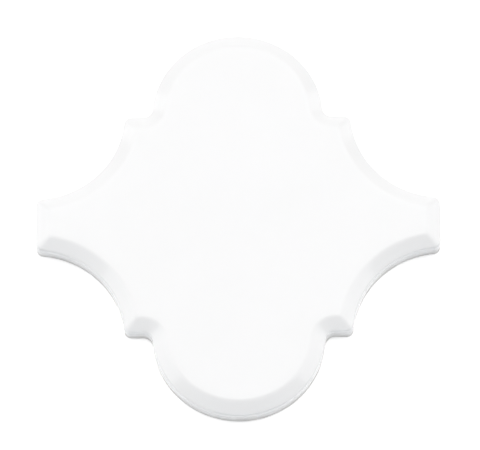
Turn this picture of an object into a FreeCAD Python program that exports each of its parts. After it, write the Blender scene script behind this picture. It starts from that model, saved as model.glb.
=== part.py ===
import FreeCAD, Part
import Sketcher
import math
import os

# Arabesque wall tile, pressed, glazed and fired as one piece.
# It lies on its back on the XY plane, glazed face up. The flat ends look along X, the round lobes
# along Y, and the origin is the middle of the back. One quarter is drawn, cut and mirrored twice.

NODE = "arabesque_tile"

# Driving dimensions, in millimetres and degrees. A cup is the hollow that a neighbour's lobe nests in.
SIZES = {
    "lobe_radius": 25.5,
    "lobe_neck": 0.5,  # shoulder to the centre of the lobe
    "shoulder_width": 8.25,  # side of the lobe to the nearest side of the cup
    "end_length": 16.0,  # flat end, measured to its sharp corners
    "joint_width": 1.5,  # mortar joint between nested tiles
    "tile_thickness": 8.0,  # back to flat face
    "corner_radius": 2.2,  # outer corners in plan
    "notch_radius": 3.0,  # inner corner beside a lobe in plan
    "pillow_width": 5.3,  # sloping border of the glazed face
    "pillow_angle": 25.0,  # slope of that border
    "crown_radius": 5.5,  # soft bend from the flat face into the slope
    "crown_angle": 3.0,  # slope with which that bend leaves the flat face
    "rim_radius": 0.6,  # bend from the slope into the side
    "back_arris": 0.5,  # chamfer round the back
    "key_depth": 0.8,  # mortar keys pressed into the back
    "key_cell": 8.0,
    "key_rib": 2.0,
    "key_margin": 5.0,  # plain border round the keys
    "cut_clearance": 1.0,  # how far an edge cut reaches past the tile
}

# Places that follow from the sizes, so that equal tiles nest with one joint all round.
PLACES = {
    "cup_radius": "sizes.lobe_radius + sizes.joint_width",
    "cup_x": "sizes.lobe_radius + sizes.shoulder_width + cup_radius",
    "cup_y": "sizes.end_length / 2 + cup_radius",
    "half_width": "cup_x - sizes.joint_width / 2",
    "shoulder_y": "sizes.end_length / 2 + sizes.lobe_radius + sizes.lobe_neck",
    "lobe_y": "shoulder_y + sizes.lobe_neck",
    "half_length": "lobe_y + sizes.lobe_radius",
    "notch_y": "shoulder_y + sizes.notch_radius",
    "notch_reach": "sizes.lobe_radius + sizes.notch_radius",
    "notch_x": "sqrt(notch_reach ^ 2 - (notch_y - lobe_y) ^ 2)",
    "notch_lift": "asin((notch_y - lobe_y) / notch_reach)",
    "cut_top": "sizes.tile_thickness + sizes.cut_clearance",
    "crown_lean": "sizes.crown_radius * sin(sizes.crown_angle)",
    "crown_y": "sizes.tile_thickness - sizes.crown_radius * cos(sizes.crown_angle)",
    "slope_lean": "sizes.crown_radius * sin(sizes.pillow_angle)",
    "slope_top": "crown_y + sizes.crown_radius * cos(sizes.pillow_angle)",
    "key_pitch": "sizes.key_cell + sizes.key_rib",
}

START, END, CENTRE = range(1, 4)  # how a sketch numbers the spots of a line or arc
LEFT, RIGHT = "left", "right"
TOUCH = 1e-4

doc = FreeCAD.newDocument(NODE)


def fill_sheet(name, cells, prefix):
    """A sheet with one named cell for each size or place."""
    sheet = doc.addObject("Spreadsheet::Sheet", name)
    for row, (alias, text) in enumerate(cells.items(), 1):
        sheet.set(f"A{row}", prefix + str(text))
        sheet.setAlias(f"A{row}", alias)
        doc.recompute()
    return sheet


sizes = fill_sheet("sizes", SIZES, "")
places = fill_sheet("places", PLACES, "=")


def cell(alias):
    """The number in a named cell, and the expression that reads it."""
    sheet = sizes if alias in SIZES else places
    return float(sheet.get(alias)), f"{sheet.Name}.{alias}"


def number(alias):
    return cell(alias)[0]


def point(x, y):
    return FreeCAD.Vector(x, y, 0)


def toward(start, goal, distance):
    return start + (goal - start).normalize() * distance


def straight(start, end):
    """A straight piece of a loop, with the ends that it is entered and left by."""
    return Part.LineSegment(start, end), START, END


def bend(centre, start, end, turn):
    """A round piece of a loop, turning left or right about its centre."""
    first, last = (start, end) if turn == LEFT else (end, start)
    angles = [math.atan2(spot.y - centre.y, spot.x - centre.x) for spot in (first, last)]
    circle = Part.Circle(centre, FreeCAD.Vector(0, 0, 1), centre.distanceToPoint(start))
    entry, leave = (START, END) if turn == LEFT else (END, START)
    return Part.ArcOfCircle(circle, *angles), entry, leave


def draw_loop(sketch, pieces, joints):
    """Draws the pieces of a closed loop and joins each one to the next."""
    for geometry, entry, leave in pieces:
        sketch.addGeometry(geometry, False)
    for index, joint in enumerate(joints):
        following = (index + 1) % len(pieces)
        sketch.addConstraint(Sketcher.Constraint(joint, index, pieces[index][2],
                                                 following, pieces[following][1]))


def rule(sketch, kind, *where):
    sketch.addConstraint(Sketcher.Constraint(kind, *where))


def dimension(sketch, name, value, expression, kind, *where):
    """A named dimension of a sketch, bound to an expression of the sheets."""
    index = sketch.addConstraint(Sketcher.Constraint(kind, *where, value))
    sketch.renameConstraint(index, name)
    sketch.setExpression(f"Constraints.{name}", expression)


def cell_dimension(sketch, alias, kind, *where):
    dimension(sketch, alias, *cell(alias), kind, *where)


body = doc.addObject("PartDesign::Body", NODE)
body.Label = NODE
origin = {feature.Role: feature for feature in body.Origin.OriginFeatures}


def add_sketch(name, plane):
    sketch = body.newObject("Sketcher::SketchObject", name)
    sketch.AttachmentSupport = (origin[plane], "")
    sketch.MapMode = "FlatFace"
    return sketch


def add_feature(kind, name, **links):
    """A new last feature of the body. It has to change the body's volume."""
    before = body.Shape.Volume if body.Tip else 0.0
    feature = body.newObject(f"PartDesign::{kind}", name)
    for key, value in links.items():
        if isinstance(value, str) and value.startswith("="):
            feature.setExpression(key, value[1:])
        else:
            setattr(feature, key, value)
    body.Tip = feature
    doc.recompute()
    if abs(body.Shape.Volume - before) < TOUCH:
        raise RuntimeError(f"{name} changed nothing")
    return feature


def draw_outline():
    """Quarter of the outline: flat end, corner, cup, corner, shoulder, notch and half a lobe."""
    corner = number("corner_radius")
    cup, notch = point(number("cup_x"), number("cup_y")), point(number("notch_x"), number("notch_y"))
    lobe, tip = point(0, number("lobe_y")), point(0, number("half_length"))
    middle, end = point(0, 0), point(number("half_width"), 0)
    cup_gap = number("cup_radius") + corner
    end_corner_x = end.x - corner
    end_corner = point(end_corner_x, cup.y - math.sqrt(cup_gap ** 2 - (cup.x - end_corner_x) ** 2))
    shoulder_corner_y = number("shoulder_y") - corner
    drop = cup.y - shoulder_corner_y
    shoulder_corner = point(cup.x - math.sqrt(cup_gap ** 2 - drop ** 2), shoulder_corner_y)
    end_top, end_turn = point(end.x, end_corner.y), toward(end_corner, cup, corner)
    cup_turn = toward(shoulder_corner, cup, corner)
    shoulder_out = point(shoulder_corner.x, number("shoulder_y"))
    shoulder_in = point(notch.x, number("shoulder_y"))
    notch_turn = toward(lobe, notch, number("lobe_radius"))
    pieces = [
        straight(middle, end),
        straight(end, end_top),
        bend(end_corner, end_top, end_turn, LEFT),
        bend(cup, end_turn, cup_turn, RIGHT),
        bend(shoulder_corner, cup_turn, shoulder_out, LEFT),
        straight(shoulder_out, shoulder_in),
        bend(notch, shoulder_in, notch_turn, RIGHT),
        bend(lobe, notch_turn, tip, LEFT),
        straight(tip, middle),
    ]
    base, end_side, corner_a, cup_arc, corner_b, shoulder, notch_arc, lobe_arc, spine = range(9)
    sketch = add_sketch("outline", "XY_Plane")
    draw_loop(sketch, pieces, ["Coincident"] + ["Tangent"] * 6 + ["Coincident"] * 2)
    rule(sketch, "Coincident", base, START, -1, START)
    rule(sketch, "Horizontal", base)
    rule(sketch, "Vertical", end_side)
    rule(sketch, "Horizontal", shoulder)
    rule(sketch, "Vertical", spine)
    rule(sketch, "Equal", corner_a, corner_b)
    rule(sketch, "PointOnObject", lobe_arc, CENTRE, -2)
    cell_dimension(sketch, "half_width", "DistanceX", base, END)
    cell_dimension(sketch, "half_length", "DistanceY", spine, START)
    cell_dimension(sketch, "corner_radius", "Radius", corner_a)
    cell_dimension(sketch, "cup_radius", "Radius", cup_arc)
    cell_dimension(sketch, "cup_x", "DistanceX", cup_arc, CENTRE)
    cell_dimension(sketch, "cup_y", "DistanceY", cup_arc, CENTRE)
    cell_dimension(sketch, "shoulder_y", "DistanceY", shoulder, END)
    cell_dimension(sketch, "notch_radius", "Radius", notch_arc)
    cell_dimension(sketch, "lobe_radius", "Radius", lobe_arc)
    return sketch


def draw_pillow(name, plane, side_alias, hollow=False):
    """Section of what is cut off an edge: crown bend, slope, and clearance outside the tile.

    The tile's side stands at side_alias from the sketch's vertical axis. The tile lies between
    the two, or beyond the side where that is hollow.
    """
    inward, into, out = (1, " + ", " - ") if hollow else (-1, " - ", " + ")
    side, side_cell = cell(side_alias)
    face_x = side + inward * number("pillow_width")
    face_end = point(face_x, number("tile_thickness"))
    centre = point(face_x + inward * number("crown_lean"), number("crown_y"))
    slope_start = point(centre.x - inward * number("slope_lean"), number("slope_top"))
    outer_x = side - inward * number("cut_clearance")
    fall = abs(slope_start.x - outer_x) * math.tan(math.radians(number("pillow_angle")))
    slope_end = point(outer_x, slope_start.y - fall)
    lid_out, lid_in = point(outer_x, number("cut_top")), point(face_x, number("cut_top"))
    pieces = [
        bend(centre, face_end, slope_start, LEFT if hollow else RIGHT),
        straight(slope_start, slope_end),
        straight(slope_end, lid_out),
        straight(lid_out, lid_in),
        straight(lid_in, face_end),
    ]
    crown, slope, outer, lid, inner = range(5)
    sketch = add_sketch(name, plane)
    draw_loop(sketch, pieces, ["Tangent"] + ["Coincident"] * 4)
    rule(sketch, "Vertical", outer)
    rule(sketch, "Horizontal", lid)
    rule(sketch, "Vertical", inner)
    face_cell = f"{side_cell}{into}sizes.pillow_width"
    centre_cell = f"{face_cell}{into}places.crown_lean"
    cell_dimension(sketch, "crown_radius", "Radius", crown)
    cell_dimension(sketch, "tile_thickness", "DistanceY", inner, END)
    cell_dimension(sketch, "cut_top", "DistanceY", lid, START)
    dimension(sketch, "face_end", face_x, face_cell, "DistanceX", inner, END)
    dimension(sketch, "crown_x", centre.x, centre_cell, "DistanceX", crown, CENTRE)
    dimension(sketch, "slope_start", slope_start.x, f"{centre_cell}{out}places.slope_lean",
              "DistanceX", slope, START)
    dimension(sketch, "cut_side", outer_x, f"{side_cell}{out}sizes.cut_clearance",
              "DistanceX", outer, START)
    return sketch


def draw_turned_pillow(name, side_alias, centre_x, centre_y, heading, hollow=False):
    """The same section over the centre of a round side, turned to face along heading."""
    sketch = draw_pillow(name, "XZ_Plane", side_alias, hollow)
    upright = FreeCAD.Rotation(FreeCAD.Vector(0, 1, 0), 90)
    sketch.AttachmentOffset = FreeCAD.Placement(FreeCAD.Vector(), upright)
    sketch.setExpression("AttachmentOffset.Base.x", centre_x)
    sketch.setExpression("AttachmentOffset.Base.z", f"-{centre_y}")
    sketch.setExpression("AttachmentOffset.Rotation.Angle", heading)
    return sketch


def turn_off(name, sketch, sweep):
    """Cuts a section off the tile's edge, turned evenly to both sides of its sketch."""
    return add_feature("Groove", name, Profile=(sketch, [""]), ReferenceAxis=(sketch, ["V_Axis"]),
                       Midplane=True, Angle=sweep)


def cut_pillow():
    """Slopes the border of the glazed face down to the side, stretch by stretch."""
    end = draw_pillow("end_section", "XZ_Plane", "half_width")
    add_feature("Pocket", "end_slope", Profile=(end, [""]), SideType="Symmetric",
                Length="=2 * places.cup_y")
    cup = draw_turned_pillow("cup_section", "cup_radius", "places.cup_x", "places.cup_y",
                             "225 deg", hollow=True)
    turn_off("cup_slope", cup, 180)
    shoulder = draw_pillow("shoulder_section", "YZ_Plane", "shoulder_y")
    shoulder.setExpression("AttachmentOffset.Base.z", "places.notch_x")
    add_feature("Pocket", "shoulder_slope", Profile=(shoulder, [""]), Reversed=True,
                Length="=places.half_width - places.notch_x")
    notch = draw_turned_pillow("notch_section", "notch_radius", "places.notch_x", "places.notch_y",
                               "225 deg + places.notch_lift / 2", hollow=True)
    turn_off("notch_slope", notch, "=90 deg - places.notch_lift")
    lobe = draw_turned_pillow("lobe_section", "lobe_radius", "0", "places.lobe_y", "90 deg")
    turn_off("lobe_slope", lobe, "=180 deg - 2 * places.notch_lift")


def edges_between(low, high):
    """Names of the tile's edges that lie wholly between two heights, off the mirror planes."""
    names = []
    for index, edge in enumerate(body.Shape.Edges, 1):
        box = edge.BoundBox
        on_mirror = box.XMax < TOUCH or box.YMax < TOUCH
        if box.ZMin > low and box.ZMax < high and not on_mirror:
            names.append(f"Edge{index}")
    return names


def round_edges():
    """Rounds the rim between slope and side, and breaks the sharp edge round the back."""
    rim = edges_between(TOUCH, number("slope_top") - TOUCH)
    add_feature("Fillet", "rim", Base=(body.Tip, rim), Radius="=sizes.rim_radius")
    back = edges_between(-TOUCH, TOUCH)
    add_feature("Chamfer", "arris", Base=(body.Tip, back), Size="=sizes.back_arris")


def inside_border(x, y):
    """Whether a point of the quarter lies within the back's plain border."""
    margin = number("key_margin")
    cup = math.hypot(x - number("cup_x"), y - number("cup_y")) - number("cup_radius")
    notch = math.hypot(x - number("notch_x"), y - number("notch_y")) - number("notch_radius")
    if y < number("shoulder_y") - margin:
        side = number("half_width") - x
    else:
        side = number("lobe_radius") - math.hypot(x, max(0, y - number("lobe_y")))
    return min(cup, notch, side) >= margin


def cells_in_row(row):
    """How many whole cells fit in a row of keys, counted from the mirror plane outwards."""
    pitch, half = number("key_pitch"), number("key_cell") / 2
    low, high = row * pitch - half, row * pitch + half
    nearest_notch = min(max(number("notch_y"), low), high)
    count = 0
    while all(inside_border(count * pitch + half, y) for y in (low, nearest_notch, high)):
        count += 1
    return count


def draw_key(row):
    """First cell of a row of keys, square and astride the mirror plane."""
    half, middle = number("key_cell") / 2, row * number("key_pitch")
    corners = [point(-half, middle - half), point(half, middle - half),
               point(half, middle + half), point(-half, middle + half)]
    bottom, right, top, left = range(4)
    sketch = add_sketch(f"key_section_{row}", "XY_Plane")
    draw_loop(sketch, [straight(*ends) for ends in zip(corners, corners[1:] + corners[:1])],
              ["Coincident"] * 4)
    rule(sketch, "Symmetric", bottom, START, bottom, END, -2)
    rule(sketch, "Vertical", right)
    rule(sketch, "Horizontal", top)
    rule(sketch, "Vertical", left)
    dimension(sketch, "key_width", 2 * half, "sizes.key_cell", "DistanceX", bottom, START, bottom, END)
    dimension(sketch, "key_height", 2 * half, "sizes.key_cell", "DistanceY", right, START, right, END)
    dimension(sketch, "key_top", middle + half, f"{row} * places.key_pitch + sizes.key_cell / 2",
              "DistanceY", top, START)
    return sketch


def press_keys():
    """Presses rows of shallow square cells into the back, where the mortar grips."""
    row = 0
    while cells_in_row(row):
        key = add_feature("Pocket", f"key_{row}", Profile=(draw_key(row), [""]), Reversed=True,
                          Length="=sizes.key_depth")
        if cells_in_row(row) > 1:
            add_feature("LinearPattern", f"key_row_{row}", Originals=[key],
                        Direction=(origin["X_Axis"], [""]), Mode="Spacing",
                        Offset="=places.key_pitch", Occurrences=cells_in_row(row))
        row += 1


def mirror_quarter():
    for name, plane in (("half", "YZ_Plane"), ("whole", "XZ_Plane")):
        add_feature("Mirrored", name, TransformMode="Whole shape", MirrorPlane=(origin[plane], [""]))


def export():
    """Writes the tile's file once every object of the document is sound."""
    for item in doc.Objects:
        if "Invalid" in item.State or "Error" in item.State:
            raise RuntimeError(f"{item.Label}: {item.State}")
    if body.Shape.isNull() or not body.Shape.isValid():
        raise RuntimeError(f"{body.Label} is not a sound solid")
    os.makedirs("parts", exist_ok=True)
    body.Shape.exportStep(os.path.join("parts", f"{body.Label}.step"))


outline = draw_outline()
add_feature("Pad", "blank", Profile=(outline, [""]), Length="=sizes.tile_thickness")
cut_pillow()
round_edges()
press_keys()
mirror_quarter()
export()
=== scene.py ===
# %% [markdown]
# # An arabesque wall tile
# The real tile is a slab of pale clay, pressed in a mould, coated with white glaze and fired, so it
# is one piece with nothing to take apart. The CAD frame gives its exact size and place. The frame's
# mesh could be rendered as it is, but its loose triangles shade unevenly along soft edges, so this
# lesson models the tile again by hand, inside the same box, and gives it a real glaze.

# %% Load the frame
import math

import bmesh
import bpy
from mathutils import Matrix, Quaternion, Vector


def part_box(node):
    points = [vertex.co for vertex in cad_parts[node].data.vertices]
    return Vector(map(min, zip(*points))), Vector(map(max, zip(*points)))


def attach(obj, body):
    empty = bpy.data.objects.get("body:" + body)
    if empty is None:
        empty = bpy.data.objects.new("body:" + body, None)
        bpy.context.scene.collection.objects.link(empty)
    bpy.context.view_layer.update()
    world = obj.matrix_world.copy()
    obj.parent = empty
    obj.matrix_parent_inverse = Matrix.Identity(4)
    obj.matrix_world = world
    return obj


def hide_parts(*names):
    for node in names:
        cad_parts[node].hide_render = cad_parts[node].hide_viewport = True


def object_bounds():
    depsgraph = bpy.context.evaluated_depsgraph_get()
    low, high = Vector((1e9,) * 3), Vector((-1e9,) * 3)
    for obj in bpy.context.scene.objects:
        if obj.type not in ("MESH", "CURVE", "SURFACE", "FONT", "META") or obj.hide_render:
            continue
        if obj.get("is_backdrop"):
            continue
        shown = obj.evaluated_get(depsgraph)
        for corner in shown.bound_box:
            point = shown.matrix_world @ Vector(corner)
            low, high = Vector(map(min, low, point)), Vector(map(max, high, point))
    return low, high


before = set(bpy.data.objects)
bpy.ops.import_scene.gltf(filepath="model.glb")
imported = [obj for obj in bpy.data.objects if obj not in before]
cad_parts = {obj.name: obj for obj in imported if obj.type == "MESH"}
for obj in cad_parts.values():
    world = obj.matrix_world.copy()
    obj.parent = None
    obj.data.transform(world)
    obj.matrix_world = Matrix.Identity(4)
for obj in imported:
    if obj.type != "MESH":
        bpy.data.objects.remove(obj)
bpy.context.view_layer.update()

MM = 0.001
TILE_NODE = "arabesque_tile"
half_width, half_length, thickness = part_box(TILE_NODE)[1]
print(f"half width {half_width / MM:.2f}, half length {half_length / MM:.2f}, "
      f"thickness {thickness / MM:.2f} mm")

# %% [markdown]
# ## The plan
# Seen from above, the tile has two flat ends, two round lobes, and four hollow cups in which the
# lobes of its neighbours nest. An outline could be traced from a picture, but a tracing wobbles.
# Here the outline follows from a few sizes: the width and the length come from the frame, a cup is
# one joint wider than a lobe, and every arc gets a centre that later cells turn about.

# %% Centres of the plan
LOBE_RADIUS = 25.5 * MM
LOBE_NECK = 0.5 * MM  # how far the shoulders lie below the middle of the lobe
END_LENGTH = 16 * MM
JOINT_WIDTH = 1.5 * MM
NOTCH_RADIUS = 3 * MM

lobe_y = half_length - LOBE_RADIUS
shoulder_y = lobe_y - LOBE_NECK
cup_radius = LOBE_RADIUS + JOINT_WIDTH
cup_x = half_width + JOINT_WIDTH / 2
cup_y = END_LENGTH / 2 + cup_radius
notch_y = shoulder_y + NOTCH_RADIUS
notch_lift = math.asin((notch_y - lobe_y) / (LOBE_RADIUS + NOTCH_RADIUS))
notch_x = (LOBE_RADIUS + NOTCH_RADIUS) * math.cos(notch_lift)
print(f"cup centre {cup_x / MM:.2f}, {cup_y / MM:.2f} mm")
print(f"notch centre {notch_x / MM:.2f}, {notch_y / MM:.2f} mm")

# %% [markdown]
# ## The edge in section
# A pillowed tile has a flat face whose border bends down into a slope, and a rim that the glaze
# rounds off before the upright side begins. A bevel on a plain slab could give one such bend, but
# it can't give a crown, a slope and a rim of different radii. So the section is written as a row of
# points, each an inset from the side and a height, and a ring of the tile is drawn for each one.
# The last few rings swell very gently into the face, since a glaze leaves no crease there.

# %% Points of the section
BACK_ARRIS = 0.5 * MM
RIM_ROUND = 0.8 * MM
RIM_STEPS = 6
PILLOW_SLOPE = math.radians(25)
CROWN_ROUND = 4 * MM
CROWN_END = math.radians(3)  # the lean that is left where the swell into the face begins
CROWN_STEPS = 9
PILLOW_WIDTH = 4.75 * MM
FACE_INSET = 5.9 * MM
FACE_STEPS = 3


def edge_section():
    """Inset and height of each ring, from the back round the edge to the flat face."""
    swell = (FACE_INSET - PILLOW_WIDTH) * math.tan(CROWN_END / 2)
    crown_inset = PILLOW_WIDTH + CROWN_ROUND * math.sin(CROWN_END)
    crown_height = thickness - swell - CROWN_ROUND * math.cos(CROWN_END)
    slope_inset = crown_inset - CROWN_ROUND * math.sin(PILLOW_SLOPE)
    slope_height = crown_height + CROWN_ROUND * math.cos(PILLOW_SLOPE)
    rim_turn = math.pi / 2 - PILLOW_SLOPE
    sharp_rim = slope_height - slope_inset * math.tan(PILLOW_SLOPE)
    rim_height = sharp_rim - RIM_ROUND * math.tan(rim_turn / 2)
    points = [(BACK_ARRIS, 0), (0, BACK_ARRIS)]
    for step in range(RIM_STEPS + 1):
        turn = rim_turn * step / RIM_STEPS
        points.append((RIM_ROUND * (1 - math.cos(turn)), rim_height + RIM_ROUND * math.sin(turn)))
    for step in range(CROWN_STEPS + 1):
        lean = PILLOW_SLOPE + (CROWN_END - PILLOW_SLOPE) * step / CROWN_STEPS
        points.append((crown_inset - CROWN_ROUND * math.sin(lean),
                       crown_height + CROWN_ROUND * math.cos(lean)))
    for step in range(1, FACE_STEPS + 1):
        left = 1 - step / FACE_STEPS
        inset = FACE_INSET - (FACE_INSET - PILLOW_WIDTH) * left
        points.append((inset, thickness - swell * left ** 2))
    return points


section = edge_section()
print("inset and height in mm:")
for inset, height in section:
    print(f"  {inset / MM:.2f} {height / MM:.2f}")

# %% [markdown]
# ## A pen in edit mode
# A ring is a curve of straight runs and arcs. It could be typed in as a list of points, but a
# modeller draws it: one vertex is the pen, Extrude draws a straight run and Spin draws an arc. A
# small plane merged at its centre is the usual way to get a single vertex. Spin turns clockwise for
# a positive angle, so the helper turns its sign round, and left turns are positive here.

# %% Pen strokes
TOUCH = 0.001 * MM  # places nearer than this count as one


def choose(test):
    """Selects the vertices that pass a test, with the edges and faces between them."""
    mesh = bmesh.from_edit_mesh(bpy.context.object.data)
    for vert in mesh.verts:
        vert.select_set(bool(test(vert.co)))
    mesh.select_flush_mode()
    bmesh.update_edit_mesh(bpy.context.object.data)


def pen():
    """Where the selected vertex is."""
    mesh = bmesh.from_edit_mesh(bpy.context.object.data)
    return next(vert.co.copy() for vert in mesh.verts if vert.select)


def put_pen(x, y, z):
    """Adds a single selected vertex."""
    bpy.ops.mesh.primitive_plane_add(size=MM, location=(x, y, z))
    bpy.ops.mesh.merge(type="CENTER")


def draw_straight(x, y, steps):
    """Draws a straight run from the pen to a place at the same height."""
    stride = (Vector((x, y, pen().z)) - pen()) / steps
    for _ in range(steps):
        bpy.ops.mesh.extrude_region_move(TRANSFORM_OT_translate={"value": stride})


def draw_arc(x, y, turn, steps):
    """Draws an arc from the pen about a centre at the same height."""
    bpy.ops.mesh.spin(steps=steps, angle=-turn, center=(x, y, pen().z), axis=(0, 0, 1))


print("strokes:", [stroke.__name__ for stroke in (put_pen, draw_straight, draw_arc)])

# %% [markdown]
# ## One ring
# A ring is a quarter of the outline, moved inwards by its inset: an end, a corner, a cup, a corner,
# a shoulder, a notch and half a lobe. Where the slopes of two sides meet, a mould leaves a sharp
# mitre, but glaze runs off such a ridge and softens it. So each ring keeps a small radius at its
# corners, and only the short shoulder of the innermost rings makes it smaller.

# %% Draw a ring
CORNER_ROUND = 2.2 * MM
MITRE_ROUND = 1.3 * MM
SHOULDER_SHARE = 0.8  # the most of a short shoulder that its corner may take
END_STEPS, CORNER_STEPS, CUP_STEPS = 4, 8, 32
SHOULDER_STEPS, NOTCH_STEPS, LOBE_STEPS = 2, 12, 40


def corner_radii(inset):
    """Radius of the end corner and of the shoulder corner on a ring."""
    end = max(CORNER_ROUND - inset, MITRE_ROUND)
    reach = math.sqrt((cup_radius + inset) ** 2 - (cup_y - shoulder_y + inset) ** 2)
    return end, min(end, SHOULDER_SHARE * (cup_x - reach - notch_x))


def draw_ring(inset, height):
    """Draws a quarter ring from the middle of the end to the tip of the lobe."""
    end_round, shoulder_round = corner_radii(inset)
    side_x, top_y = half_width - inset, shoulder_y - inset
    end_x = side_x - end_round
    end_y = cup_y - math.sqrt((cup_radius + inset + end_round) ** 2 - (cup_x - end_x) ** 2)
    low_y = top_y - shoulder_round
    low_x = cup_x - math.sqrt((cup_radius + inset + shoulder_round) ** 2 - (cup_y - low_y) ** 2)
    end_turn = math.atan2(cup_y - end_y, cup_x - end_x)
    low_turn = math.atan2(cup_y - low_y, cup_x - low_x)
    put_pen(side_x, 0, height)
    draw_straight(side_x, end_y, END_STEPS)
    draw_arc(end_x, end_y, end_turn, CORNER_STEPS)
    draw_arc(cup_x, cup_y, low_turn - end_turn, CUP_STEPS)
    draw_arc(low_x, low_y, math.pi / 2 - low_turn, CORNER_STEPS)
    draw_straight(notch_x, top_y, SHOULDER_STEPS)
    draw_arc(notch_x, notch_y, notch_lift - math.pi / 2, NOTCH_STEPS)
    draw_arc(0, lobe_y, math.pi / 2 - notch_lift, LOBE_STEPS)
    miss = (pen() - Vector((0, half_length - inset, height))).length
    if miss > TOUCH:
        raise RuntimeError(f"a ring misses the tip of the lobe by {miss / MM:.4f} mm")


for inset, _ in (section[0], section[-1]):
    end_round, shoulder_round = corner_radii(inset)
    print(f"inset {inset / MM:.2f}: corners {end_round / MM:.2f} and {shoulder_round / MM:.2f} mm")

# %% [markdown]
# ## The skin of the tile
# All the rings are drawn in one mesh, and Bridge Edge Loops joins each ring to the next one, which
# is how a boat builder planks a hull over its frames. A Mirror modifier then makes the whole tile
# from the quarter, so that both ends and both lobes are exactly alike, and the two open rims are
# filled with one face each. Mirroring turns some faces inside out, so at the end the normals are
# made to agree.

# %% Draw and bridge the rings
bpy.ops.object.select_all(action="DESELECT")
bpy.ops.object.add(type="MESH", location=(0, 0, 0), enter_editmode=True)
tile = bpy.context.object
tile.name = tile.data.name = "glazed_tile"
for inset, height in section:
    draw_ring(inset, height)
for (_, low), (_, high) in zip(section, section[1:]):
    choose(lambda place: min(abs(place.z - low), abs(place.z - high)) < TOUCH)
    bpy.ops.mesh.bridge_edge_loops()
bpy.ops.object.mode_set(mode="OBJECT")
print("quarter skin:", len(tile.data.vertices), "vertices,", len(tile.data.polygons), "faces")

# %% Mirror and close the skin


def apply_modifier(kind, **settings):
    """Adds a modifier to the active object, sets it and applies it."""
    bpy.ops.object.modifier_add(type=kind)
    modifier = bpy.context.object.modifiers[-1]
    for name, value in settings.items():
        setattr(modifier, name, value)
    bpy.ops.object.modifier_apply(modifier=modifier.name)


apply_modifier("MIRROR", use_axis=(True, True, False), merge_threshold=TOUCH)
bpy.ops.object.mode_set(mode="EDIT")
for level in (section[0][1], section[-1][1]):
    choose(lambda place: abs(place.z - level) < TOUCH)
    bpy.ops.mesh.edge_face_add()
bpy.ops.mesh.select_all(action="SELECT")
bpy.ops.mesh.normals_make_consistent(inside=False)
bpy.ops.object.mode_set(mode="OBJECT")
print("whole skin:", len(tile.data.vertices), "vertices,", len(tile.data.polygons), "faces")

# %% [markdown]
# ## Keys in the back
# The back of a pressed tile carries rows of shallow square cells that the mortar grips. They could
# be inset and pushed in face by face, but in the mould they come from a plate of studs, and a plate
# of studs is quick to make: one stud is tapered and softened, copied along and across, and taken
# out of the back with a Boolean. The taper is what lets a pressed tile leave its mould.

# %% One stud
KEY_DEPTH = 0.8 * MM
KEY_CELL = 8 * MM
KEY_PITCH = 10 * MM
KEY_TAPER = 0.94  # size of a stud's top, as a share of its foot
KEY_SOFT = 0.3 * MM
KEY_SOFT_STEPS = 2
STUD_HEIGHT = 2 * KEY_DEPTH  # half of it stays below the back, so that the Boolean cuts cleanly
KEYS_IN_ROW = (9, 7, 5, 3, 3, 1)  # from the middle row outwards

bpy.ops.object.select_all(action="DESELECT")
bpy.ops.mesh.primitive_cube_add(size=1, location=(0, 0, 0),
                                scale=(KEY_CELL, KEY_CELL, STUD_HEIGHT))
stud = bpy.context.object
stud.name = "key_stud"
bpy.ops.object.transform_apply(location=True, rotation=True, scale=True)
bpy.ops.object.mode_set(mode="EDIT")
choose(lambda place: place.z > 0)
bpy.ops.transform.resize(value=(KEY_TAPER, KEY_TAPER, 1), center_override=(0, 0, KEY_DEPTH))
bpy.ops.mesh.bevel(offset=KEY_SOFT, segments=KEY_SOFT_STEPS)
bpy.ops.object.mode_set(mode="OBJECT")
stud_size = [round(axis / MM, 2) for axis in stud.dimensions]
print("stud:", len(stud.data.polygons), "faces,", stud_size, "mm")

# %% Press the keys
rows = []
for row, keys in enumerate(KEYS_IN_ROW):
    sides = (1, -1) if row else (1,)
    for side in sides:
        bpy.ops.object.select_all(action="DESELECT")
        stud.select_set(True)
        bpy.context.view_layer.objects.active = stud
        bpy.ops.object.duplicate()
        bpy.ops.transform.translate(value=(-KEY_PITCH * (keys - 1) / 2, side * row * KEY_PITCH, 0))
        apply_modifier("ARRAY", count=keys, use_relative_offset=False, use_constant_offset=True,
                       constant_offset_displace=(KEY_PITCH, 0, 0))
        rows.append(bpy.context.object)
bpy.data.objects.remove(stud)
bpy.ops.object.select_all(action="DESELECT")
for studs in rows:
    studs.select_set(True)
bpy.context.view_layer.objects.active = rows[0]
bpy.ops.object.join()
stamp = bpy.context.object
bpy.context.view_layer.objects.active = tile
apply_modifier("BOOLEAN", operation="DIFFERENCE", solver="EXACT", object=stamp)
bpy.data.objects.remove(stamp)
pressed = 2 * sum(KEYS_IN_ROW) - KEYS_IN_ROW[0]
print("keys pressed:", pressed, "and the tile has", len(tile.data.polygons), "faces")

# %% [markdown]
# ## Smooth shading
# Fired glaze has no facets, while the arris round the back and the keys stay crisp. Shade Smooth
# alone would smear light across those crisp edges, so the tile is smoothed by angle. A Weighted
# Normal modifier then lets the large flat face rule over the narrow strips of the crown, which
# keeps the face flat in reflections.

# %% Smooth the tile
SMOOTH_ANGLE = math.radians(35)
CM = 10 * MM

bpy.ops.object.select_all(action="DESELECT")
tile.select_set(True)
bpy.context.view_layer.objects.active = tile
bpy.ops.object.shade_smooth_by_angle(angle=SMOOTH_ANGLE)
apply_modifier("WEIGHTED_NORMAL", keep_sharp=True)
check = bmesh.new()
check.from_mesh(tile.data)
open_edges = sum(not edge.is_manifold for edge in check.edges)
print(f"open edges: {open_edges}, volume: {check.calc_volume() / CM ** 3:.2f} cm3")
check.free()

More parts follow.
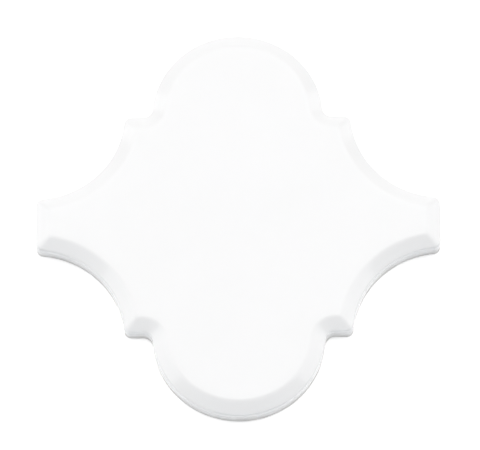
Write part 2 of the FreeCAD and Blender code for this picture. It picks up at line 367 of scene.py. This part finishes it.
# %% [markdown]
# ## Node helpers
# Materials here are built from nodes that read Object coordinates in metres, so a pattern keeps its
# real size on the tile. Each node could be added and wired by hand in the shader editor. The
# helpers do the same in code: they add a node and fill its sockets, mix two colours or values, and
# make a noise or a smooth step.

# %% Add and mix nodes


def add_node(tree, kind, options=None, **sockets):
    """Adds a node. A socket is given a value, or is linked where another socket is given."""
    node = tree.nodes.new(kind)
    for name, value in (options or {}).items():
        setattr(node, name, value)
    for name, value in sockets.items():
        fill(tree, node.inputs[name.replace("_", " ")], value)
    return node


def fill(tree, socket, value):
    """Sets a socket to a value, or links it to another socket."""
    if isinstance(value, bpy.types.NodeSocket):
        tree.links.new(value, socket)
    else:
        socket.default_value = value


def math_node(tree, operation, first, second):
    """Result of a Math node, whose two inputs share one name."""
    node = tree.nodes.new("ShaderNodeMath")
    node.operation = operation
    fill(tree, node.inputs[0], first)
    fill(tree, node.inputs[1], second)
    return node.outputs["Value"]


def mix(tree, kind, factor, first, second):
    """Result of a Mix node of kind RGBA or FLOAT."""
    node = tree.nodes.new("ShaderNodeMix")
    node.data_type = kind
    ending = {"RGBA": "Color", "FLOAT": "Float"}[kind]
    values = {"Factor_Float": factor, f"A_{ending}": first, f"B_{ending}": second}
    for socket in node.inputs:
        if socket.identifier in values:
            fill(tree, socket, values[socket.identifier])
    return next(socket for socket in node.outputs if socket.identifier == f"Result_{ending}")


print("node helpers:", [helper.__name__ for helper in (add_node, math_node, mix)])

# %% Noises and steps
NOISE_LOW, NOISE_HIGH = 0.3, 0.7  # nearly all of a soft noise lies between these


def noise(tree, vector, size, detail=2.0):
    """A soft noise from 0 to 1 whose lumps are about size across."""
    node = add_node(tree, "ShaderNodeTexNoise", Vector=vector, Scale=1 / size, Detail=detail)
    return node.outputs["Fac"]


def ramp(tree, value, low, high, start=0.0, end=1.0):
    """A smooth step from start to end while value goes from low to high."""
    node = add_node(tree, "ShaderNodeMapRange", {"interpolation_type": "SMOOTHSTEP"}, Value=value,
                    From_Min=low, From_Max=high, To_Min=start, To_Max=end)
    return node.outputs["Result"]


def new_material(name):
    """A new material, its node tree and its Principled shader."""
    material = bpy.data.materials.new(name)
    material.use_nodes = True
    return material, material.node_tree, material.node_tree.nodes["Principled BSDF"]


print("texture helpers:", [helper.__name__ for helper in (noise, ramp, new_material)])

# %% [markdown]
# ## Fired clay
# Where no glaze reached, the tile is bare biscuit: a matt, pale, slightly mottled clay with fine
# grain and a few pits. It shows on the back and again at the foot of the side, where its grey also
# stands in as painted shade near the floor, so it is a node group with named sockets, which gives a
# colour, a roughness and a height. Each material could have its own copy of these nodes, but then
# every change would have to be made twice.

# %% The clay group
MOTTLE_SIZE = 4 * MM
GRAIN_SIZE = 0.25 * MM
PIT_SPACING = 2.2 * MM
PIT_FLOOR, PIT_LIP = 0.05, 0.12  # as shares of the spacing
CLAY_SMOOTHEST, CLAY_ROUGHEST = 0.72, 0.92
GRAIN_LOW = 0.5  # height of the lowest grain, where a pit is 0 and the highest grain is 1


def make_clay_group():
    """The node group of bare fired clay."""
    group = bpy.data.node_groups.new("fired_clay", "ShaderNodeTree")
    for name, kind in (("Vector", "Vector"), ("Pale clay", "Color"), ("Deep clay", "Color")):
        group.interface.new_socket(name=name, in_out="INPUT", socket_type=f"NodeSocket{kind}")
    for name, kind in (("Color", "Color"), ("Roughness", "Float"), ("Height", "Float")):
        group.interface.new_socket(name=name, in_out="OUTPUT", socket_type=f"NodeSocket{kind}")
    enter = group.nodes.new("NodeGroupInput").outputs
    leave = group.nodes.new("NodeGroupOutput").inputs
    place, pale, deep = enter["Vector"], enter["Pale clay"], enter["Deep clay"]
    mottle = ramp(group, noise(group, place, MOTTLE_SIZE, detail=5.0), NOISE_LOW, NOISE_HIGH)
    grain = noise(group, place, GRAIN_SIZE)
    pits = add_node(group, "ShaderNodeTexVoronoi", Vector=place, Scale=1 / PIT_SPACING)
    ground = ramp(group, pits.outputs["Distance"], PIT_FLOOR, PIT_LIP)
    tone = mix(group, "RGBA", mottle, pale, deep)
    fill(group, leave["Color"], mix(group, "RGBA", ground, deep, tone))
    fill(group, leave["Roughness"],
         ramp(group, grain, NOISE_LOW, NOISE_HIGH, CLAY_SMOOTHEST, CLAY_ROUGHEST))
    bumps = ramp(group, grain, 0.0, 1.0, start=GRAIN_LOW)
    fill(group, leave["Height"], mix(group, "FLOAT", ground, 0.0, bumps))
    return group


clay_group = make_clay_group()
print("group", clay_group.name, [item.name for item in clay_group.interface.items_tree])

# %% Bare biscuit
# The clay is a little grey, and at the foot of the side this grey also serves as painted shade near
# the floor.
PALE_CLAY = (0.8, 0.79, 0.775, 1)
DEEP_CLAY = (0.7, 0.685, 0.665, 1)
CLAY_RELIEF = 0.06 * MM


def add_clay(tree, vector):
    """Outputs of the clay group, placed in a material."""
    node = add_node(tree, "ShaderNodeGroup", {"node_tree": clay_group}, Vector=vector,
                    Pale_clay=PALE_CLAY, Deep_clay=DEEP_CLAY)
    return node.outputs


biscuit, nodes, shader = new_material("biscuit")
clay = add_clay(nodes, add_node(nodes, "ShaderNodeTexCoord").outputs["Object"])
relief = add_node(nodes, "ShaderNodeBump", Height=clay["Height"], Distance=CLAY_RELIEF)
fill(nodes, shader.inputs["Base Color"], clay["Color"])
fill(nodes, shader.inputs["Roughness"], clay["Roughness"])
fill(nodes, shader.inputs["Normal"], relief.outputs["Normal"])
print("material", biscuit.name, len(nodes.nodes), "nodes")

# %% [markdown]
# ## White glaze
# The glaze is glass: white, very smooth, and a touch uneven. It pools and thins a little and has a
# faint orange peel. It is sprayed from above, so it covers the face and the rim, thins out down the
# upright side and leaves the foot almost bare, which keeps the kiln shelf clean. The grey clay that
# darkens the side towards the foot is that bare foot, and it is also painted shade where the side
# meets the floor. The limit could be painted on by hand. But height above the shelf is simply Z in
# Object coordinates, so a soft step over Z with some noise in it gives the same fading, without any
# UV map.

# %% Where the glaze lies
# The fade below runs from glaze into darker clay: the bare foot, and also painted shade where the
# side meets the floor.
SPRAY_AND_SHADE_LOW = 0.6 * MM
SPRAY_AND_SHADE_HIGH = 5 * MM
SPRAY_WANDER = 0.9 * MM
WANDER_SIZE = 6 * MM

glaze, nodes, shader = new_material("tile_glaze")
place = add_node(nodes, "ShaderNodeTexCoord").outputs["Object"]
level = add_node(nodes, "ShaderNodeSeparateXYZ", Vector=place).outputs["Z"]
wander = ramp(nodes, noise(nodes, place, WANDER_SIZE, detail=4.0), NOISE_LOW, NOISE_HIGH,
              -SPRAY_WANDER / 2, SPRAY_WANDER / 2)
glaze_and_foot_shade = ramp(nodes, math_node(nodes, "ADD", level, wander), SPRAY_AND_SHADE_LOW, SPRAY_AND_SHADE_HIGH)
print(f"glaze fades from {SPRAY_AND_SHADE_HIGH / MM:.1f} to {SPRAY_AND_SHADE_LOW / MM:.1f} mm above the back")

# %% Colour and gloss of the glaze
GLAZE_WHITE = (0.926, 0.925, 0.927, 1)
GLAZE_THIN = (0.918, 0.917, 0.918, 1)
ROUGHNESS_WHITE = 0.06
ROUGHNESS_THIN = 0.10
POOL_SIZE = 22 * MM

clay = add_clay(nodes, place)
pool = ramp(nodes, noise(nodes, place, POOL_SIZE, detail=3.0), NOISE_LOW, NOISE_HIGH)
tone = mix(nodes, "RGBA", pool, GLAZE_THIN, GLAZE_WHITE)
gloss = mix(nodes, "FLOAT", pool, ROUGHNESS_THIN, ROUGHNESS_WHITE)
# Down the side the colour turns from glaze to clay: bare foot, and painted shade near the floor.
fill(nodes, shader.inputs["Base Color"], mix(nodes, "RGBA", glaze_and_foot_shade, clay["Color"], tone))
fill(nodes, shader.inputs["Roughness"], mix(nodes, "FLOAT", glaze_and_foot_shade, clay["Roughness"], gloss))
print("glaze white", GLAZE_WHITE[:3], "thin", GLAZE_THIN[:3])

# %% Orange peel
PEEL_SIZE = 2.4 * MM
PEEL_RELIEF = 0.004 * MM
RIPPLE_SIZE = 14 * MM
RIPPLE_RELIEF = 0.024 * MM

ripple = add_node(nodes, "ShaderNodeBump", Height=noise(nodes, place, RIPPLE_SIZE),
                  Distance=RIPPLE_RELIEF)
peel = add_node(nodes, "ShaderNodeBump", Height=noise(nodes, place, PEEL_SIZE),
                Distance=PEEL_RELIEF, Normal=ripple.outputs["Normal"])
fill(nodes, shader.inputs["Normal"], peel.outputs["Normal"])
print("material", glaze.name, len(nodes.nodes), "nodes")

# %% Coat the tile
GLAZED, BARE = 0, 1  # places of the two materials on the tile

tile.data.materials.clear()
tile.data.materials.append(glaze)
tile.data.materials.append(biscuit)
for face in tile.data.polygons:
    highest = max(tile.data.vertices[index].co.z for index in face.vertices)
    face.material_index = BARE if highest < KEY_DEPTH + TOUCH else GLAZED
bare_faces = sum(face.material_index == BARE for face in tile.data.polygons)
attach(tile, "root")
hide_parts(TILE_NODE)
print("bare faces:", bare_faces, "of", len(tile.data.polygons))

# %% [markdown]
# ## Floor
# The tile lies on a plain white floor that fades into a white background. More lamp light would
# whiten the floor, but it would bleach the tile as well. So the floor has a plain diffuse colour
# that takes the tile's shadow, and a glow that only the camera and reflections can see. Its lower
# side lets the camera through, so that the back of the tile can be looked at too.

# %% Rays that see a thing


def seen_directly(tree):
    """1 for rays of the camera, of mirrors and through glass, and 0 for rays that light things."""
    path = add_node(tree, "ShaderNodeLightPath").outputs
    mirrored = math_node(tree, "MAXIMUM", path["Is Camera Ray"], path["Is Glossy Ray"])
    return math_node(tree, "MAXIMUM", mirrored, path["Is Transmission Ray"])


def mix_shaders(tree, factor, first, second):
    """Result of a Mix Shader node."""
    node = tree.nodes.new("ShaderNodeMixShader")
    for socket, value in zip(node.inputs, (factor, first, second)):
        fill(tree, socket, value)
    return node.outputs["Shader"]


print("ray helpers:", [helper.__name__ for helper in (seen_directly, mix_shaders)])

# %% The floor
FLOOR_SIZE = 6.0
FLOOR_COLOUR = (0.92, 0.92, 0.92, 1)
FLOOR_GLOW = 0.5

bpy.ops.object.select_all(action="DESELECT")
bpy.ops.mesh.primitive_plane_add(size=FLOOR_SIZE, location=(0, 0, 0))
floor = bpy.context.object
floor.name = "studio_floor"
studio_white = bpy.data.materials.new("studio_white")
studio_white.use_nodes = True
nodes = studio_white.node_tree
nodes.nodes.clear()
matt = add_node(nodes, "ShaderNodeBsdfDiffuse", Color=FLOOR_COLOUR).outputs["BSDF"]
glow = add_node(nodes, "ShaderNodeEmission",
                Strength=math_node(nodes, "MULTIPLY", seen_directly(nodes), FLOOR_GLOW))
upper = nodes.nodes.new("ShaderNodeAddShader")
fill(nodes, upper.inputs[0], matt)
fill(nodes, upper.inputs[1], glow.outputs["Emission"])
lower = nodes.nodes.new("ShaderNodeBsdfTransparent").outputs["BSDF"]
below = add_node(nodes, "ShaderNodeNewGeometry").outputs["Backfacing"]
add_node(nodes, "ShaderNodeOutputMaterial",
         Surface=mix_shaders(nodes, below, upper.outputs["Shader"], lower))
floor.data.materials.append(studio_white)
floor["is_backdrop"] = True
print("floor", FLOOR_SIZE, "m across,", len(nodes.nodes), "nodes")

# %% [markdown]
# ## Light
# White glaze on a white floor is a hard subject. Lamps all round would flatten it, and one strong
# lamp would bleach it. Here two large soft boxes stand at the sides, so the borders that slope
# towards the camera stay the darkest ones. A box above and a little behind hangs just where the
# face and its crown mirror it into the camera, so its sheen whitens them and leaves the near border
# alone.

# %% A soft box
LAMP_DISTANCE = 2.5


def add_box(name, azimuth, elevation, size, power, colour=(1, 1, 1), lights=True,
            mirrored=True):
    """A square soft box that looks at the tile. It lights the tile if lights is true, and the tile
    mirrors it if mirrored is true.

    Azimuth 0 is behind the tile and 90 at its left.
    """
    turn, lift = math.radians(azimuth), math.radians(elevation)
    flat = math.cos(lift)
    away = Vector((-math.sin(turn) * flat, math.cos(turn) * flat, math.sin(lift)))
    aim = away.to_track_quat("Z", "Y").to_euler()
    bpy.ops.object.light_add(type="AREA", location=away * LAMP_DISTANCE, rotation=aim)
    lamp = bpy.context.object
    lamp.name = name
    lamp.data.shape = "SQUARE"
    lamp.data.size = size
    lamp.data.energy = power
    lamp.data.color = colour
    lamp.visible_diffuse = lights
    lamp.visible_glossy = mirrored
    print(name, power, "W at", [round(axis, 2) for axis in lamp.location])


print("lamps stand", LAMP_DISTANCE, "m from the tile")

# %% [markdown]
# ## Boxes that light and cards that shine
# A glossy tile shows each lamp twice, as light on its surface and as a mirror image. The side boxes
# could do both, but from a low side their image would bleach the face. So they only light the tile,
# and two cards that hang higher are only mirrored and give the flanks their sheen. A weak box in
# front lifts the near rim, and an even sky fills the rest. Together they give a white surface a
# brightness of about 1, so a colour renders about as it is written.

# %% Lamps
COOL = (0.8, 0.9, 1)
add_box("top_box", azimuth=0, elevation=68, size=2.0, power=23)
add_box("left_box", azimuth=73, elevation=28, size=2.6, power=33, mirrored=False)
add_box("right_box", azimuth=-73, elevation=28, size=2.6, power=31.5, mirrored=False)
add_box("left_card", azimuth=74, elevation=42, size=2.0, power=19.5, lights=False)
add_box("right_card", azimuth=-74, elevation=42, size=2.0, power=18.5, lights=False)
add_box("front_box", azimuth=180, elevation=8, size=0.9, power=9, colour=COOL)

# %% Sky
SKY_LEVEL = 0.3
BACKDROP_LEVEL = 1.0
WHITE = (1, 1, 1, 1)

world = bpy.data.worlds.new("white_sky")
bpy.context.scene.world = world
world.use_nodes = True
nodes = world.node_tree
nodes.nodes.clear()
sky = add_node(nodes, "ShaderNodeBackground", Color=WHITE, Strength=SKY_LEVEL)
backdrop = add_node(nodes, "ShaderNodeBackground", Color=WHITE, Strength=BACKDROP_LEVEL)
add_node(nodes, "ShaderNodeOutputWorld",
         Surface=mix_shaders(nodes, seen_directly(nodes), sky.outputs["Background"],
                             backdrop.outputs["Background"]))
bpy.context.scene.view_settings.view_transform = "Standard"
print("sky lights at", SKY_LEVEL, "and is seen at", BACKDROP_LEVEL)

# %% [markdown]
# ## Camera
# The picture is taken steeply from above with a long lens, so opposite edges of the tile stay
# almost parallel. The camera could be nudged into place by eye, but the tips, ends and shoulders
# of the outline fix it much better: fitting them gives the elevation, the focal length for a
# chosen distance, and a slight roll.

# %% The camera
CAMERA_DISTANCE = 1.5
CAMERA_ELEVATION = math.radians(69.75)
CAMERA_ROLL = math.radians(0.39)
CAMERA_AIM = Vector((0.51 * MM, 1.69 * MM, 0))
FOCAL_LENGTH = 377.6  # millimetres, on a sensor 36 mm wide

back = Vector((0, -math.cos(CAMERA_ELEVATION), math.sin(CAMERA_ELEVATION)))
tilt = Quaternion((1, 0, 0), math.pi / 2 - CAMERA_ELEVATION) @ Quaternion((0, 0, 1), -CAMERA_ROLL)
bpy.ops.object.camera_add(location=CAMERA_AIM + back * CAMERA_DISTANCE, rotation=tilt.to_euler())
camera = bpy.context.object
camera.name = "studio_camera"
camera.data.lens = FOCAL_LENGTH
bpy.context.scene.camera = camera
print("camera at", [round(axis, 3) for axis in camera.location])

# %% [markdown]
# ## The visual box
# The tile must not outgrow the frame, and the box of everything that renders is printed here.

# %% Print the visual box
low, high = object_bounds()
print("visual box in mm:", [[round(axis / MM, 3) for axis in corner] for corner in (low, high)])
